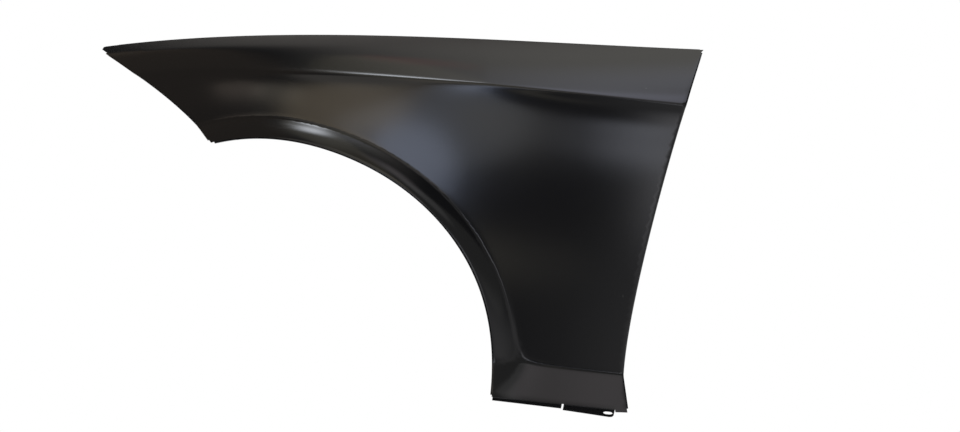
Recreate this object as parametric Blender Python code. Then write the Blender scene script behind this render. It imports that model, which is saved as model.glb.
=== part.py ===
"""Left front fender of a saloon car: one steel pressing with folded flanges.

The outer skin is a height field over the side view. x runs rearward and z up from the
wheel centre, and depth runs outboard from the crest of the character line. The skin's
edges are the bend lines of its flanges: a stepped gutter flange for the bonnet side, and
turned flanges at the door, the sill, the wheel arch and the headlamp.
Sizes are in millimetres and degrees, and MM turns them to metres.
"""

import bpy
import bmesh
import numpy as np
from math import atan2, ceil, cos, degrees, exp, hypot, pi, radians, sin, sqrt
from mathutils import Vector
from mathutils.geometry import delaunay_2d_cdt, interpolate_bezier
from mathutils.kdtree import KDTree

MM = 0.001

# Sheet
SHEET = 0.8
FOLD_RADIUS = 2.5
FOLD_STEPS = 3

# Side view: bend lines, each a Bezier curve of end, handle, handle, end
TOP_EDGE = ((-342.3, 501.7), (-14.6, 568.2), (331.1, 573.4), (657.5, 595.5))
LAMP_EDGE = ((-147.6, 377.9), (-206.0, 428.1), (-276.1, 463.5), (-343.3, 496.6))
DOOR_EDGE_UPPER = ((653.2, 590.2), (645.5, 562), (636, 529), (629.5, 496))
DOOR_EDGE_LOWER = ((629.5, 496), (607.1, 384.9), (573, 161.2), (579.3, 53.3))
SILL_CORNER = ((592.8, -3.8), (573.7, -5.3), (572.2, -0.9))

# Wheel arch, not quite round: radius by angle from the vertical toward the rear
ARCH_PROFILE = ((-19.65, 378.9), (19.0, 371.5), (60.5, 376.5), (90.39, 372.7))

# Character line, a convex crest from the headlamp edge to the door
CREST_FRONT = ((-369.7, 431), (-212.9, 490.9), (107.3, 491.1), (306.4, 497.6))
CREST_REAR = (660, 497.6)
CREST_ROUND_FRONT = 1.7
CREST_ROUND_REAR = 0.7
CREST_ROUND_SPAN = (-100.0, 470.0)

# Shoulder above the crest, rolling in to the bonnet edge
SHOULDER_RUN_FRONT = 68.0
SHOULDER_RUN_REAR = 100.0
SHOULDER_LOWER_SHARE = 0.58
SHOULDER_ROLL_PLACE = 0.67
SHOULDER_ROLL_FRONT = 0.05
SHOULDER_ROLL_REAR = 0.55

# Side below the crest, and the plan curve with its tighter nose
UNDERCUT = 6.0
UNDERCUT_REACH = 20.0
UNDERCUT_START = 120.0
UNDERCUT_FULL = 470.0
SIDE_TUCK = 40.0
SIDE_POWER = 1.7
PLAN_RADIUS = 3500.0
NOSE_TUCK = 30.0
NOSE_START = 120.0
NOSE_POWER = 2.3

# Flared band round the arch and along the sill, past an L-shaped concave crease
BAND_WIDTH = 31.0
FLARE = 15.0
FLARE_CROWN = 0.6
SILL_BAND_HEIGHT = 54.9
SILL_LEAN = 0.36
FLARE_BLEND = 8.0
CREASE_ROUND = 0.5
CREASE_FILLET = 16.0

# Bonnet-side gutter: a wall down from the top edge and a stepped flange with slotted pads
GUTTER_RADIUS = 4.0
GUTTER_STEPS = 5
GUTTER_DEPTH = 24.0
GUTTER_DEPTH_TIP = 15.0
GUTTER_WIDTH = 15.0
GUTTER_START = 32.0
PAD_PLACES = (-236.0, 26.0, 306.0, 594.0)
PAD_LENGTH = 58.0
PAD_WIDTH = 30.0
PAD_SLOT = (13.0, 8.0)
PAD_SLOT_FORWARD = 10.0
PAD_SEAT_BACK = 14.0

# Turned flanges, each wider at its bolted tabs
DOOR_FLANGE = 16.0
DOOR_TAB = 34.0
DOOR_TAB_HEIGHTS = (440.0, 128.0)
DOOR_TAB_LENGTH = 46.0
DOOR_HOLE = 8.0
DOOR_HOLE_INSET = 21.0
LAMP_FLANGE = 11.0
LAMP_TAB = 30.0
LAMP_TAB_PLACE = 78.0
LAMP_TAB_LENGTH = 40.0
LAMP_HOLE = 7.0
LAMP_HOLE_INSET = 18.0
LAMP_STOP = 14.0
ARCH_FLANGE = 14.0
ARCH_HOLES = 6
ARCH_HOLE = 6.5
ARCH_HOLE_MARGIN = 45.0
TAB_BLEND = 16.0
TAB_SEAT = 13.0
CORNER_RELIEF = 6.0

# Sill flange, folded in and down: a slotted tab at the rear, a notch and a plain front piece
SILL_SLOPE = 30.0
SILL_TAB_STOP = 106.5
SILL_TAB_WIDTH = 25.0
SILL_TAB_WIDTH_FRONT = 16.0
SILL_TAB_ROUND = 8.0
SILL_NOTCH = 3.0
SILL_FRONT_WIDTH = 11.0
SILL_FRONT_WIDTH_TIP = 7.0
SILL_FRONT_RELIEF = 1.5
SILL_SLOT = (15.0, 11.0)
SILL_SLOT_PLACE = 34.0
SILL_SLOT_INSET = 10.5
SILL_SEAT_PLACE = 62.0
SILL_SEAT_INSET = 8.0

# Mesh spacing
EDGE_STEP = 14.0
LEAST_STEP = 1.5
CREASE_STEP = 16.0
GRID = 27.0
CREST_ROWS = (-27.0, -13.0, -5.0, 5.0)
SHOULDER_ROWS = (0.34, 0.6, 0.78)
BAND_ROWS = (-10.0, 5.0, 12.0, 20.0)
ROW_CLEARANCE = 4.5
GRID_CLEARANCE = 14.0
CURVE_POINTS = 240
HOLE_SIDES = 24
HOLE_REACH = 3 * SHEET

INBOARD = Vector((0, 1, 0))
DOWN = Vector((0, 0, -1))


# Curves

def bezier(points):
    """Dense polyline of a Bezier curve in the side view."""
    end, handle, other_handle, other_end = (Vector((x, z)) for x, z in points)
    return interpolate_bezier(end, handle, other_handle, other_end, CURVE_POINTS)


def arc(centre, radius, start, stop, count):
    """Points on a circle, angles in degrees from the vertical toward the rear."""
    angles = np.radians(np.linspace(start, stop, count))
    return [Vector((centre[0] + radius * sin(a), centre[1] + radius * cos(a))) for a in angles]


def lengths(line):
    """Distance from the start of a polyline to each of its points."""
    steps = [(b - a).length for a, b in zip(line, line[1:])]
    return np.concatenate(([0.0], np.cumsum(steps)))


def at_distances(line, distances):
    """Points of a polyline at the given distances along it."""
    run = lengths(line)
    xs = np.interp(distances, run, [p[0] for p in line])
    zs = np.interp(distances, run, [p[1] for p in line])
    return [Vector(pair) for pair in zip(xs, zs)]


def crossing(line, value):
    """Distance along a polyline at which value(point) changes sign."""
    run = lengths(line)
    values = [value(p) for p in line]
    for i, (here, there) in enumerate(zip(values, values[1:])):
        if (here < 0) != (there < 0):
            return run[i] + (run[i + 1] - run[i]) * here / (here - there)
    raise ValueError("the two lines do not meet")


def stations(length, step, marks):
    """Distances from 0 to length at about one step, with every mark among them."""
    stops = [0.0]
    for mark in sorted([*marks, length]):
        if mark - stops[-1] > LEAST_STEP:
            stops.append(mark)
    stops[-1] = length
    result = [0.0]
    for start, stop in zip(stops, stops[1:]):
        count = max(1, ceil((stop - start) / step - 0.2))
        result += [start + (stop - start) * k / count for k in range(1, count + 1)]
    return result


top_line = bezier(TOP_EDGE)
crest_line = [*bezier(CREST_FRONT), Vector(CREST_REAR)]


def height_of(line, x):
    return float(np.interp(x, [p[0] for p in line], [p[1] for p in line]))


def blend(value, low, high):
    """Smooth step from 0 at low to 1 at high."""
    t = min(1.0, max(0.0, (value - low) / (high - low)))
    return t * t * (3 - 2 * t)


def smooth_min(a, b, rounding):
    return 0.5 * (a + b - sqrt((a - b) ** 2 + 4 * rounding ** 2))


def smooth_max(a, b, rounding):
    return -smooth_min(-a, -b, rounding)


# Wheel arch

def arch_radius(angle):
    """Radius of the arch at an angle, eased between the places of its profile."""
    for (start, radius), (stop, next_radius) in zip(ARCH_PROFILE, ARCH_PROFILE[1:]):
        if angle <= stop:
            return radius + (next_radius - radius) * blend(angle, start, stop)
    return next_radius


def arch_row(offset, start, stop, count):
    """Points at an offset outside the arch, from one angle to another."""
    angles = np.linspace(start, stop, count)
    return [arc((0, 0), arch_radius(angle) + offset, angle, angle, 1)[0] for angle in angles]


def beyond_arch(x, z):
    """Distance of a point outside the arch."""
    return hypot(x, z) - arch_radius(degrees(atan2(x, z)))


# Crease between the side and the flared band: an arc, a fillet and the line over the sill

def fillet_centre():
    """Centre of the fillet, which touches the crease over the arch and over the sill."""
    start, stop = ARCH_PROFILE[-2][0], ARCH_PROFILE[-1][0]
    row = arch_row(BAND_WIDTH + CREASE_FILLET, start, stop, CURVE_POINTS)
    over_sill = crossing(row, lambda p: p[1] - SILL_BAND_HEIGHT - CREASE_FILLET)
    return at_distances(row, [over_sill])[0]


fillet = fillet_centre()
fillet_angle = degrees(atan2(*fillet))
crease_length = radians(fillet_angle - ARCH_PROFILE[0][0]) * (ARCH_PROFILE[0][1] + BAND_WIDTH)
crease_stops = ceil(crease_length / CREASE_STEP) + 1


def crease_row(offset, front_angle, rear_x):
    """Polyline parallel to the crease, offset onto the band."""
    row = arch_row(BAND_WIDTH - offset, front_angle, fillet_angle, crease_stops)
    row += arc(fillet, max(1.0, CREASE_FILLET + offset), fillet_angle + 180, 180, 4)[1:]
    count = ceil((rear_x - fillet[0]) / CREASE_STEP) + 1
    return row + [Vector((x, SILL_BAND_HEIGHT - offset)) for x in np.linspace(fillet[0], rear_x, count)[1:]]


# Skin

def shoulder(x, above, height):
    """Depth of the shoulder, which rolls in from the crest to the bonnet edge."""
    along = blend(x, TOP_EDGE[0][0], TOP_EDGE[-1][0])
    run = SHOULDER_RUN_FRONT + (SHOULDER_RUN_REAR - SHOULDER_RUN_FRONT) * along
    softness = SHOULDER_ROLL_FRONT + (SHOULDER_ROLL_REAR - SHOULDER_ROLL_FRONT) * along

    def ramp(share):
        return share - SHOULDER_ROLL_PLACE + hypot(share - SHOULDER_ROLL_PLACE, softness)

    share = above / height
    roll = (ramp(share) - ramp(0)) / (ramp(1) - ramp(0))
    return -run * (SHOULDER_LOWER_SHARE * share + (1 - SHOULDER_LOWER_SHARE) * roll)


def side(x, below, crest):
    """Depth of the side below the crest: undercut, and tuck to the sill."""
    span = crest - SILL_BAND_HEIGHT
    tuck = SIDE_TUCK * (min(below, span) / span) ** SIDE_POWER
    undercut = UNDERCUT * blend(x, UNDERCUT_START, UNDERCUT_FULL) * (1 - exp(-below / UNDERCUT_REACH))
    return -undercut - tuck


def flare(x, z):
    """Outward flare past the crease: crowned to the arch lip, straight to the sill."""
    inward = min(1.0, 1 - beyond_arch(x, z) / BAND_WIDTH)
    over_arch = FLARE * inward * (1 + FLARE_CROWN * (1 - inward))
    over_sill = SILL_LEAN * (SILL_BAND_HEIGHT - z)
    return smooth_max(0.0, smooth_max(over_arch, over_sill, FLARE_BLEND), CREASE_ROUND)


def skin_depth(x, z):
    """Depth of the outer face, outboard of the crest at the door."""
    crest = height_of(crest_line, x)
    above = z - crest
    rounding = CREST_ROUND_FRONT + (CREST_ROUND_REAR - CREST_ROUND_FRONT) * blend(x, *CREST_ROUND_SPAN)
    upper = shoulder(x, above, height_of(top_line, x) - crest)
    body = smooth_min(upper, side(x, max(0.0, -above), crest), rounding)
    nose = NOSE_TUCK * (max(0.0, NOSE_START - x) / (NOSE_START - TOP_EDGE[0][0])) ** NOSE_POWER
    plan = (TOP_EDGE[-1][0] - x) ** 2 / (2 * PLAN_RADIUS)
    return body - plan - nose + flare(x, z)


def on_skin(point):
    return Vector((point[0], -skin_depth(point[0], point[1]), point[1]))


def skin_normal(point):
    reach = 1.0
    x, z = point
    slope_x = (skin_depth(x + reach, z) - skin_depth(x - reach, z)) / (2 * reach)
    slope_z = (skin_depth(x, z + reach) - skin_depth(x, z - reach)) / (2 * reach)
    return Vector((-slope_x, -1, -slope_z)).normalized()


# Outline

def outline():
    """Stretches of the skin's edge by name, clockwise as seen from outboard."""
    corner = [Vector(point) for point in SILL_CORNER]
    arch = arch_row(0, ARCH_PROFILE[-1][0], ARCH_PROFILE[0][0], CURVE_POINTS)
    lamp = [arch[-1], *bezier(LAMP_EDGE)]
    top = [lamp[-1], *top_line]
    door = [top[-1], *bezier(DOOR_EDGE_UPPER), *bezier(DOOR_EDGE_LOWER)[1:], corner[0]]
    return {"lamp": lamp, "top": top, "door": door, "sill": [*corner, arch[0]], "arch": arch}


def past_crest(point):
    return point[1] - height_of(crest_line, point[0])


lines = outline()
length_of = {name: lengths(line)[-1] for name, line in lines.items()}

# Where the creases meet the outline, as distances along its stretches
lamp_crease = crossing(lines["lamp"], lambda p: beyond_arch(*p) - BAND_WIDTH)
lamp_crest = crossing(lines["lamp"], past_crest)
door_crest = crossing(lines["door"], past_crest)
door_crease = crossing(lines["door"], lambda p: p[1] - SILL_BAND_HEIGHT)

# Where the tabs lie along their stretches
top_tabs = [crossing(lines["top"], lambda p: p[0] - x) for x in PAD_PLACES]
door_tabs = [crossing(lines["door"], lambda p: p[1] - z) for z in DOOR_TAB_HEIGHTS]
lamp_tabs = [LAMP_TAB_PLACE]
door_start = lengths(lines["door"])[1]
sill_free, sill_start = lengths(lines["sill"])[1:3]
sill_front = SILL_TAB_STOP + SILL_NOTCH
sill_tabs = [(sill_start + SILL_TAB_STOP) / 2]


def tab_marks(tabs, length):
    """Distances of the middle, the ends and the blends of each tab."""
    half = length / 2
    return [tab + side * step for tab in tabs for side in (-1, 1)
            for step in (0, half, half + TAB_BLEND / 2, half + TAB_BLEND)]


marks = {
    "lamp": [CORNER_RELIEF, lamp_crease, lamp_crest, length_of["lamp"] - LAMP_STOP,
             *tab_marks(lamp_tabs, LAMP_TAB_LENGTH)],
    "top": [GUTTER_START, length_of["top"] - CORNER_RELIEF, *tab_marks(top_tabs, PAD_LENGTH)],
    "door": [door_start, door_crest, door_crease, length_of["door"] - CORNER_RELIEF,
             *tab_marks(door_tabs, DOOR_TAB_LENGTH)],
    "sill": [sill_free, sill_start, sill_start + SILL_TAB_ROUND * 0.2, sill_start + SILL_TAB_ROUND * 0.5,
             sill_start + SILL_TAB_ROUND, *sill_tabs, SILL_TAB_STOP, sill_front,
             length_of["sill"] - SILL_FRONT_RELIEF],
    "arch": [CORNER_RELIEF / 2, length_of["arch"] - CORNER_RELIEF],
}
stops = {name: stations(length_of[name], EDGE_STEP, marks[name]) for name in lines}
edge = {name: at_distances(lines[name], stops[name]) for name in lines}


def index_at(name, distance):
    """Number of the station of a stretch at a distance along it."""
    return int(np.argmin(np.abs(np.array(stops[name]) - distance)))


# Flanges

class Tab:
    """Flat seat of a flange: a point on its bend, and its directions along, across and out."""

    def __init__(self, centre, along, across):
        self.centre = centre
        self.along = along
        self.across = across
        self.normal = along.cross(across).normalized()

    def point(self, along, across):
        return self.centre + self.along * along + self.across * across


def bend(start, heading, target, radius, steps):
    """Arc of a fold that turns from one heading to another, without its start."""
    turn = heading.angle(target)
    points = []
    for k in range(1, steps + 1):
        angle = turn * k / steps
        forward = (cos(turn - angle) - cos(turn)) / sin(turn)
        turned = (1 - cos(angle)) / sin(turn)
        points.append(start + radius * (forward * heading + turned * target))
    return points


def run(start, heading, length, parts):
    """Points along a straight run, without its start."""
    return [start + heading * (length * k / parts) for k in range(1, parts + 1)]


def tab_share(distance, tabs, length):
    """1 on a tab and 0 clear of it, with a blend at each end."""
    nearest = min(abs(distance - tab) for tab in tabs)
    return 1 - blend(nearest, length / 2, length / 2 + TAB_BLEND)


def taper(distance, start, stop):
    """Share of the width near a flange's ends, whose corners are cut off."""
    return min(1.0, 0.3 + 0.7 * min(distance - start, stop - distance) / TAB_BLEND)


def strip(name, start, stop, section):
    """First station of a flange and the points across it at each of its stations."""
    spots = [on_skin(point) for point in edge[name]]
    first, last = index_at(name, start), index_at(name, stop)
    rows = []
    for i in range(first, last + 1):
        tangent = (spots[min(i + 1, last)] - spots[max(i - 1, first)]).normalized()
        heading = skin_normal(edge[name][i]).cross(tangent).normalized()
        rows.append(section(stops[name][i], spots[i], heading, tangent))
    return name, first, rows


def flatten(flange, distance, length, bends):
    """Brings the rows of a tab, past its bends, onto one plane, and gives its frame."""
    name, first, rows = flange
    low = index_at(name, distance - length / 2) - first
    high = index_at(name, distance + length / 2) - first
    middle = index_at(name, distance) - first
    flat = bends - 1
    centre = rows[middle][flat]
    along = (rows[high][flat] - rows[low][flat]).normalized()
    across = (rows[middle][flat + 1] - centre).normalized()
    across = (across - along * across.dot(along)).normalized()
    tab = Tab(centre, along, across)
    for row in rows[low:high + 1]:
        for k in range(flat, len(row)):
            row[k] = row[k] - tab.normal * (row[k] - centre).dot(tab.normal)
    return tab


def gutter_level(x):
    """Height of the gutter flange: level on each pad and sloped between them."""
    half = PAD_LENGTH / 2
    xs = [TOP_EDGE[0][0]]
    levels = [TOP_EDGE[0][1] - GUTTER_DEPTH_TIP]
    for place in PAD_PLACES:
        level = height_of(top_line, place) - GUTTER_DEPTH
        xs += [place - half - 1, place + half + 1]
        levels += [level, level]
    xs.append(TOP_EDGE[-1][0])
    levels.append(TOP_EDGE[-1][1] - GUTTER_DEPTH)
    return float(np.interp(x, xs, levels))


def gutter_section(distance, start, heading, tangent):
    inward = Vector((-tangent.y, tangent.x, 0)).normalized()
    width = GUTTER_WIDTH + (PAD_WIDTH - GUTTER_WIDTH) * tab_share(distance, top_tabs, PAD_LENGTH)
    width *= taper(distance, GUTTER_START, length_of["top"] - CORNER_RELIEF)
    points = bend(start, heading, DOWN, GUTTER_RADIUS, GUTTER_STEPS)
    drop = points[-1].z - gutter_level(start.x) - FOLD_RADIUS
    points += run(points[-1], DOWN, drop, 1)
    points += bend(points[-1], DOWN, inward, FOLD_RADIUS, FOLD_STEPS)
    return points + run(points[-1], inward, width, 2)


def door_section(distance, start, heading, tangent):
    width = DOOR_FLANGE + (DOOR_TAB - DOOR_FLANGE) * tab_share(distance, door_tabs, DOOR_TAB_LENGTH)
    width *= taper(distance, door_start, length_of["door"] - CORNER_RELIEF)
    points = bend(start, heading, INBOARD, FOLD_RADIUS, FOLD_STEPS)
    return points + run(points[-1], INBOARD, width, 2)


def lamp_section(distance, start, heading, tangent):
    width = LAMP_FLANGE + (LAMP_TAB - LAMP_FLANGE) * tab_share(distance, lamp_tabs, LAMP_TAB_LENGTH)
    width *= taper(distance, CORNER_RELIEF, length_of["lamp"] - LAMP_STOP)
    points = bend(start, heading, INBOARD, FOLD_RADIUS, FOLD_STEPS)
    return points + run(points[-1], INBOARD, width, 2)


def arch_section(distance, start, heading, tangent):
    width = ARCH_FLANGE * taper(distance, 0, length_of["arch"])
    points = bend(start, heading, INBOARD, FOLD_RADIUS, FOLD_STEPS)
    return points + run(points[-1], INBOARD, width, 1)


def sill_width(distance):
    """Width of the sill flange, whose rear tab has a rounded end."""
    if distance > SILL_TAB_STOP + SILL_NOTCH / 2:
        share = (distance - sill_front) / (length_of["sill"] - sill_front)
        return SILL_FRONT_WIDTH + (SILL_FRONT_WIDTH_TIP - SILL_FRONT_WIDTH) * share
    share = (distance - sill_start) / (SILL_TAB_STOP - sill_start)
    width = SILL_TAB_WIDTH + (SILL_TAB_WIDTH_FRONT - SILL_TAB_WIDTH) * share
    short = max(0.0, sill_start + SILL_TAB_ROUND - distance)
    return width - SILL_TAB_ROUND + sqrt(max(0.0, SILL_TAB_ROUND ** 2 - short ** 2))


def sill_section(distance, start, heading, tangent):
    inward = Vector((0, cos(radians(SILL_SLOPE)), -sin(radians(SILL_SLOPE))))
    points = bend(start, heading, inward, FOLD_RADIUS, FOLD_STEPS)
    return points + run(points[-1], inward, sill_width(distance), 2)


gutter = strip("top", GUTTER_START, length_of["top"] - CORNER_RELIEF, gutter_section)
door_flange = strip("door", door_start, length_of["door"] - CORNER_RELIEF, door_section)
lamp_flange = strip("lamp", CORNER_RELIEF, length_of["lamp"] - LAMP_STOP, lamp_section)
arch_flange = strip("arch", CORNER_RELIEF / 2, length_of["arch"] - CORNER_RELIEF, arch_section)
sill_tab_flange = strip("sill", sill_start, SILL_TAB_STOP, sill_section)
sill_front_flange = strip("sill", sill_front, length_of["sill"] - SILL_FRONT_RELIEF, sill_section)
flanges = [gutter, door_flange, lamp_flange, arch_flange, sill_tab_flange, sill_front_flange]

gutter_bends = GUTTER_STEPS + 1 + FOLD_STEPS
top_seats = [flatten(gutter, place, PAD_LENGTH, gutter_bends) for place in top_tabs]
door_seats = [flatten(door_flange, place, DOOR_TAB_LENGTH, FOLD_STEPS) for place in door_tabs]
lamp_seat = flatten(lamp_flange, lamp_tabs[0], LAMP_TAB_LENGTH, FOLD_STEPS)
sill_seat = flatten(sill_tab_flange, sill_tabs[0], SILL_TAB_STOP - sill_start, FOLD_STEPS)

# The part's origin: the underside of the rearmost gutter pad, behind its slot
origin = top_seats[-1].point(PAD_SEAT_BACK, PAD_WIDTH / 2) - top_seats[-1].normal * SHEET


def place(point):
    return (point - origin) * MM


# Skin mesh

def inside(point, loop):
    """Even-odd test of a point against a closed outline."""
    result = False
    for a, b in zip(loop, loop[1:] + loop[:1]):
        if (a[1] > point[1]) != (b[1] > point[1]):
            if point[0] < a[0] + (b[0] - a[0]) * (point[1] - a[1]) / (b[1] - a[1]):
                result = not result
    return result


def clear_of(points, others, clearance):
    """The points that keep a clearance to all the others."""
    tree = KDTree(len(others))
    for i, other in enumerate(others):
        tree.insert(other.to_3d(), i)
    tree.balance()
    return [point for point in points if tree.find(point.to_3d())[2] > clearance]


def crest_between(start, stop):
    """Points of the crest line between two x, without its ends."""
    count = ceil((stop - start) / CREASE_STEP)
    return [Vector((x, height_of(crest_line, x))) for x in np.linspace(start, stop, count + 1)[1:-1]]


def shoulder_point(point, share):
    """The point that lies above a crest point by a share of the shoulder's height."""
    x, z = point
    return Vector((x, z + share * (height_of(top_line, x) - z)))


def skin_triangles():
    """Skin points and triangles, with the number of each outline station."""
    loop = []
    numbers = {}
    for name in lines:
        numbers[name] = list(range(len(loop), len(loop) + len(edge[name])))
        loop += edge[name][:-1]
    numbers["arch"][-1] = 0
    points = list(loop)
    chains = [list(range(len(loop))) + [0]]

    crest_start = numbers["lamp"][index_at("lamp", lamp_crest)]
    crest_stop = numbers["door"][index_at("door", door_crest)]
    crest = crest_between(points[crest_start][0], points[crest_stop][0])
    chains.append([crest_start, *range(len(points), len(points) + len(crest)), crest_stop])
    points += crest

    crease_start = numbers["lamp"][index_at("lamp", lamp_crease)]
    crease_stop = numbers["door"][index_at("door", door_crease)]
    front_angle = degrees(atan2(*points[crease_start]))
    rear_x = points[crease_stop][0]
    crease = crease_row(0, front_angle, rear_x)[1:-1]
    chains.append([crease_start, *range(len(points), len(points) + len(crease)), crease_stop])
    points += crease

    dense = [point for line in lines.values() for point in at_distances(
        line, np.arange(0, lengths(line)[-1], ROW_CLEARANCE / 2))]
    rows = [[point + Vector((0, offset)) for point in crest] for offset in CREST_ROWS]
    rows += [[shoulder_point(point, share) for point in crest] for share in SHOULDER_ROWS]
    rows += [crease_row(offset, front_angle, rear_x) for offset in BAND_ROWS]
    for row in rows:
        kept = clear_of([p for p in row if inside(p, loop)], points + dense, ROW_CLEARANCE)
        for i, (point, after) in enumerate(zip(kept, kept[1:])):
            if (after - point).length < 1.5 * CREASE_STEP:
                chains.append([len(points) + i, len(points) + i + 1])
        points += kept
    points += clear_of([p for p in grid(loop) if inside(p, loop)], points + dense, GRID_CLEARANCE)

    edges = [pair for chain in chains for pair in zip(chain, chain[1:])]
    found = delaunay_2d_cdt(points, edges, [list(range(len(loop)))], 1, 1e-5)
    new_number = {old: new for new, olds in enumerate(found[3]) for old in olds}
    stations_of = {name: [new_number[i] for i in numbers[name]] for name in lines}
    return found[0], found[2], stations_of


def grid(loop):
    """Staggered points over the box of an outline."""
    low_x, high_x = min(p[0] for p in loop), max(p[0] for p in loop)
    low_z, high_z = min(p[1] for p in loop), max(p[1] for p in loop)
    rise = GRID * sqrt(3) / 2
    points = []
    for row in range(int((high_z - low_z) / rise) + 1):
        shift = GRID / 2 * (row % 2)
        for column in range(int((high_x - low_x) / GRID) + 1):
            points.append(Vector((low_x + shift + GRID * column, low_z + rise * row)))
    return points


# Objects

def clear_scene():
    for scene_object in list(bpy.data.objects):
        bpy.data.objects.remove(scene_object, do_unlink=True)


def add_object(name, mesh_builder):
    """New object whose mesh is a bmesh written by the builder."""
    bm = bmesh.new()
    mesh_builder(bm)
    mesh = bpy.data.meshes.new(name)
    bm.to_mesh(mesh)
    bm.free()
    new_object = bpy.data.objects.new(name, mesh)
    bpy.context.scene.collection.objects.link(new_object)
    return new_object


def coated_steel():
    """Black electro-coat over pressed steel."""
    material = bpy.data.materials.new("black_electrocoat")
    material.use_nodes = True
    shader = material.node_tree.nodes["Principled BSDF"]
    shader.inputs["Base Color"].default_value = (0.012, 0.013, 0.014, 1)
    shader.inputs["Roughness"].default_value = 0.3
    shader.inputs["Metallic"].default_value = 0.0
    return material


def build_sheet(bm):
    """Outer face of the whole pressing: the skin and the flanges folded from its edges."""
    points, triangles, stations_of = skin_triangles()
    verts = [bm.verts.new(place(on_skin(point))) for point in points]
    for triangle in triangles:
        bm.faces.new([verts[i] for i in triangle])
    for name, first, rows in flanges:
        columns = []
        for i, row in enumerate(rows):
            root = verts[stations_of[name][first + i]]
            columns.append([root, *(bm.verts.new(place(point)) for point in row)])
        for near, far in zip(columns, columns[1:]):
            for k in range(len(near) - 1):
                bm.faces.new((near[k], far[k], far[k + 1], near[k + 1]))
    loose = [vert for vert in bm.verts if not vert.link_faces]
    bmesh.ops.delete(bm, geom=loose, context='VERTS')


def add_hole(bm, tab, along, across, length, width):
    """Round-ended prism through a tab."""
    half = (length - width) / 2
    rings = [[], []]
    for k in range(HOLE_SIDES):
        angle = 2 * pi * (k + 0.5) / HOLE_SIDES
        shift = half if cos(angle) > 0 else -half
        spot = tab.point(along + shift + width / 2 * cos(angle), across + width / 2 * sin(angle))
        for ring, side in zip(rings, (-1, 1)):
            ring.append(bm.verts.new(place(spot + tab.normal * side * HOLE_REACH)))
    low, high = rings
    bm.faces.new(reversed(low))
    bm.faces.new(high)
    for k in range(HOLE_SIDES):
        after = (k + 1) % HOLE_SIDES
        bm.faces.new((low[k], low[after], high[after], high[k]))


def arch_tabs():
    """Frames of the liner holes, spaced evenly along the arch flange."""
    span = length_of["arch"] - 2 * ARCH_HOLE_MARGIN
    places = [ARCH_HOLE_MARGIN + span * k / (ARCH_HOLES - 1) for k in range(ARCH_HOLES)]
    tabs = []
    for point in at_distances(lines["arch"], places):
        outward = Vector((point[0], 0, point[1])).normalized()
        root = on_skin(point) - outward * FOLD_RADIUS + INBOARD * FOLD_RADIUS
        tabs.append(Tab(root, INBOARD.cross(-outward), INBOARD))
    return tabs


def build_cutters(bm):
    """Bolt slots and screw holes of all the flanges."""
    for tab in top_seats:
        add_hole(bm, tab, -PAD_SLOT_FORWARD, PAD_WIDTH / 2, *PAD_SLOT)
    for tab in door_seats:
        add_hole(bm, tab, 0, DOOR_HOLE_INSET, DOOR_HOLE, DOOR_HOLE)
    add_hole(bm, lamp_seat, 0, LAMP_HOLE_INSET, LAMP_HOLE, LAMP_HOLE)
    add_hole(bm, sill_seat, SILL_SLOT_PLACE - sill_tabs[0], SILL_SLOT_INSET, *SILL_SLOT)
    for tab in arch_tabs():
        add_hole(bm, tab, 0, ARCH_FLANGE / 2, ARCH_HOLE, ARCH_HOLE)


def add_seat(name, point, facing):
    """Empty at a bolted seat, its Z axis out of the face."""
    seat = bpy.data.objects.new(name, None)
    seat.location = place(point)
    seat.rotation_mode = 'QUATERNION'
    seat.rotation_quaternion = facing.to_track_quat('Z', 'Y')
    seat.empty_display_type = 'SINGLE_ARROW'
    seat.empty_display_size = PAD_WIDTH * MM
    bpy.context.scene.collection.objects.link(seat)


def add_seats():
    """Seats beside the bolt slots: on the inner face, and on the outer face at the headlamp."""
    for name, tab in zip(("front", "front_mid", "rear_mid", "rear"), top_seats):
        under = tab.point(PAD_SEAT_BACK, PAD_WIDTH / 2) - tab.normal * SHEET
        add_seat("top_flange_" + name, under, -tab.normal)
    for name, tab in zip(("upper", "lower"), door_seats):
        inner = tab.point(TAB_SEAT, DOOR_HOLE_INSET) - tab.normal * SHEET
        add_seat("door_flange_" + name, inner, -tab.normal)
    add_seat("lamp_flange_tab", lamp_seat.point(TAB_SEAT, LAMP_HOLE_INSET), lamp_seat.normal)
    inner = sill_seat.point(SILL_SEAT_PLACE - sill_tabs[0], SILL_SEAT_INSET)
    add_seat("sill_flange_tab", inner - sill_seat.normal * SHEET, -sill_seat.normal)


def main():
    clear_scene()
    add_seats()
    fender = add_object("fender_panel", build_sheet)
    fender.data.materials.append(coated_steel())
    fender.data.shade_smooth()
    cutters = add_object("hole_cutters", build_cutters)
    cutters.hide_render = True
    cutters.display_type = 'WIRE'

    thickness = fender.modifiers.new("sheet thickness", 'SOLIDIFY')
    thickness.thickness = SHEET * MM
    thickness.offset = -1
    thickness.use_even_offset = True
    thickness.use_quality_normals = True
    holes = fender.modifiers.new("bolt and screw holes", 'BOOLEAN')
    holes.operation = 'DIFFERENCE'
    holes.solver = 'EXACT'
    holes.object = cutters


main()
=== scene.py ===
"""Car fender: one steel pressing in black electro-coat, and the studio that shows it.

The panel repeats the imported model's own formulas on a finer mesh, so that the gloss reads as
pressed steel. Its shape is in millimetres and degrees: x runs rearward and z up from the wheel
centre, and depth runs outboard from the crest of the character line.
"""

from math import atan2, ceil, cos, degrees, exp, hypot, pi, radians, sin, sqrt

import bpy
import bmesh
import numpy as np
from bpy.props import FloatProperty, FloatVectorProperty, PointerProperty
from mathutils import Matrix, Vector
from mathutils.geometry import delaunay_2d_cdt, interpolate_bezier
from mathutils.kdtree import KDTree


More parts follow.
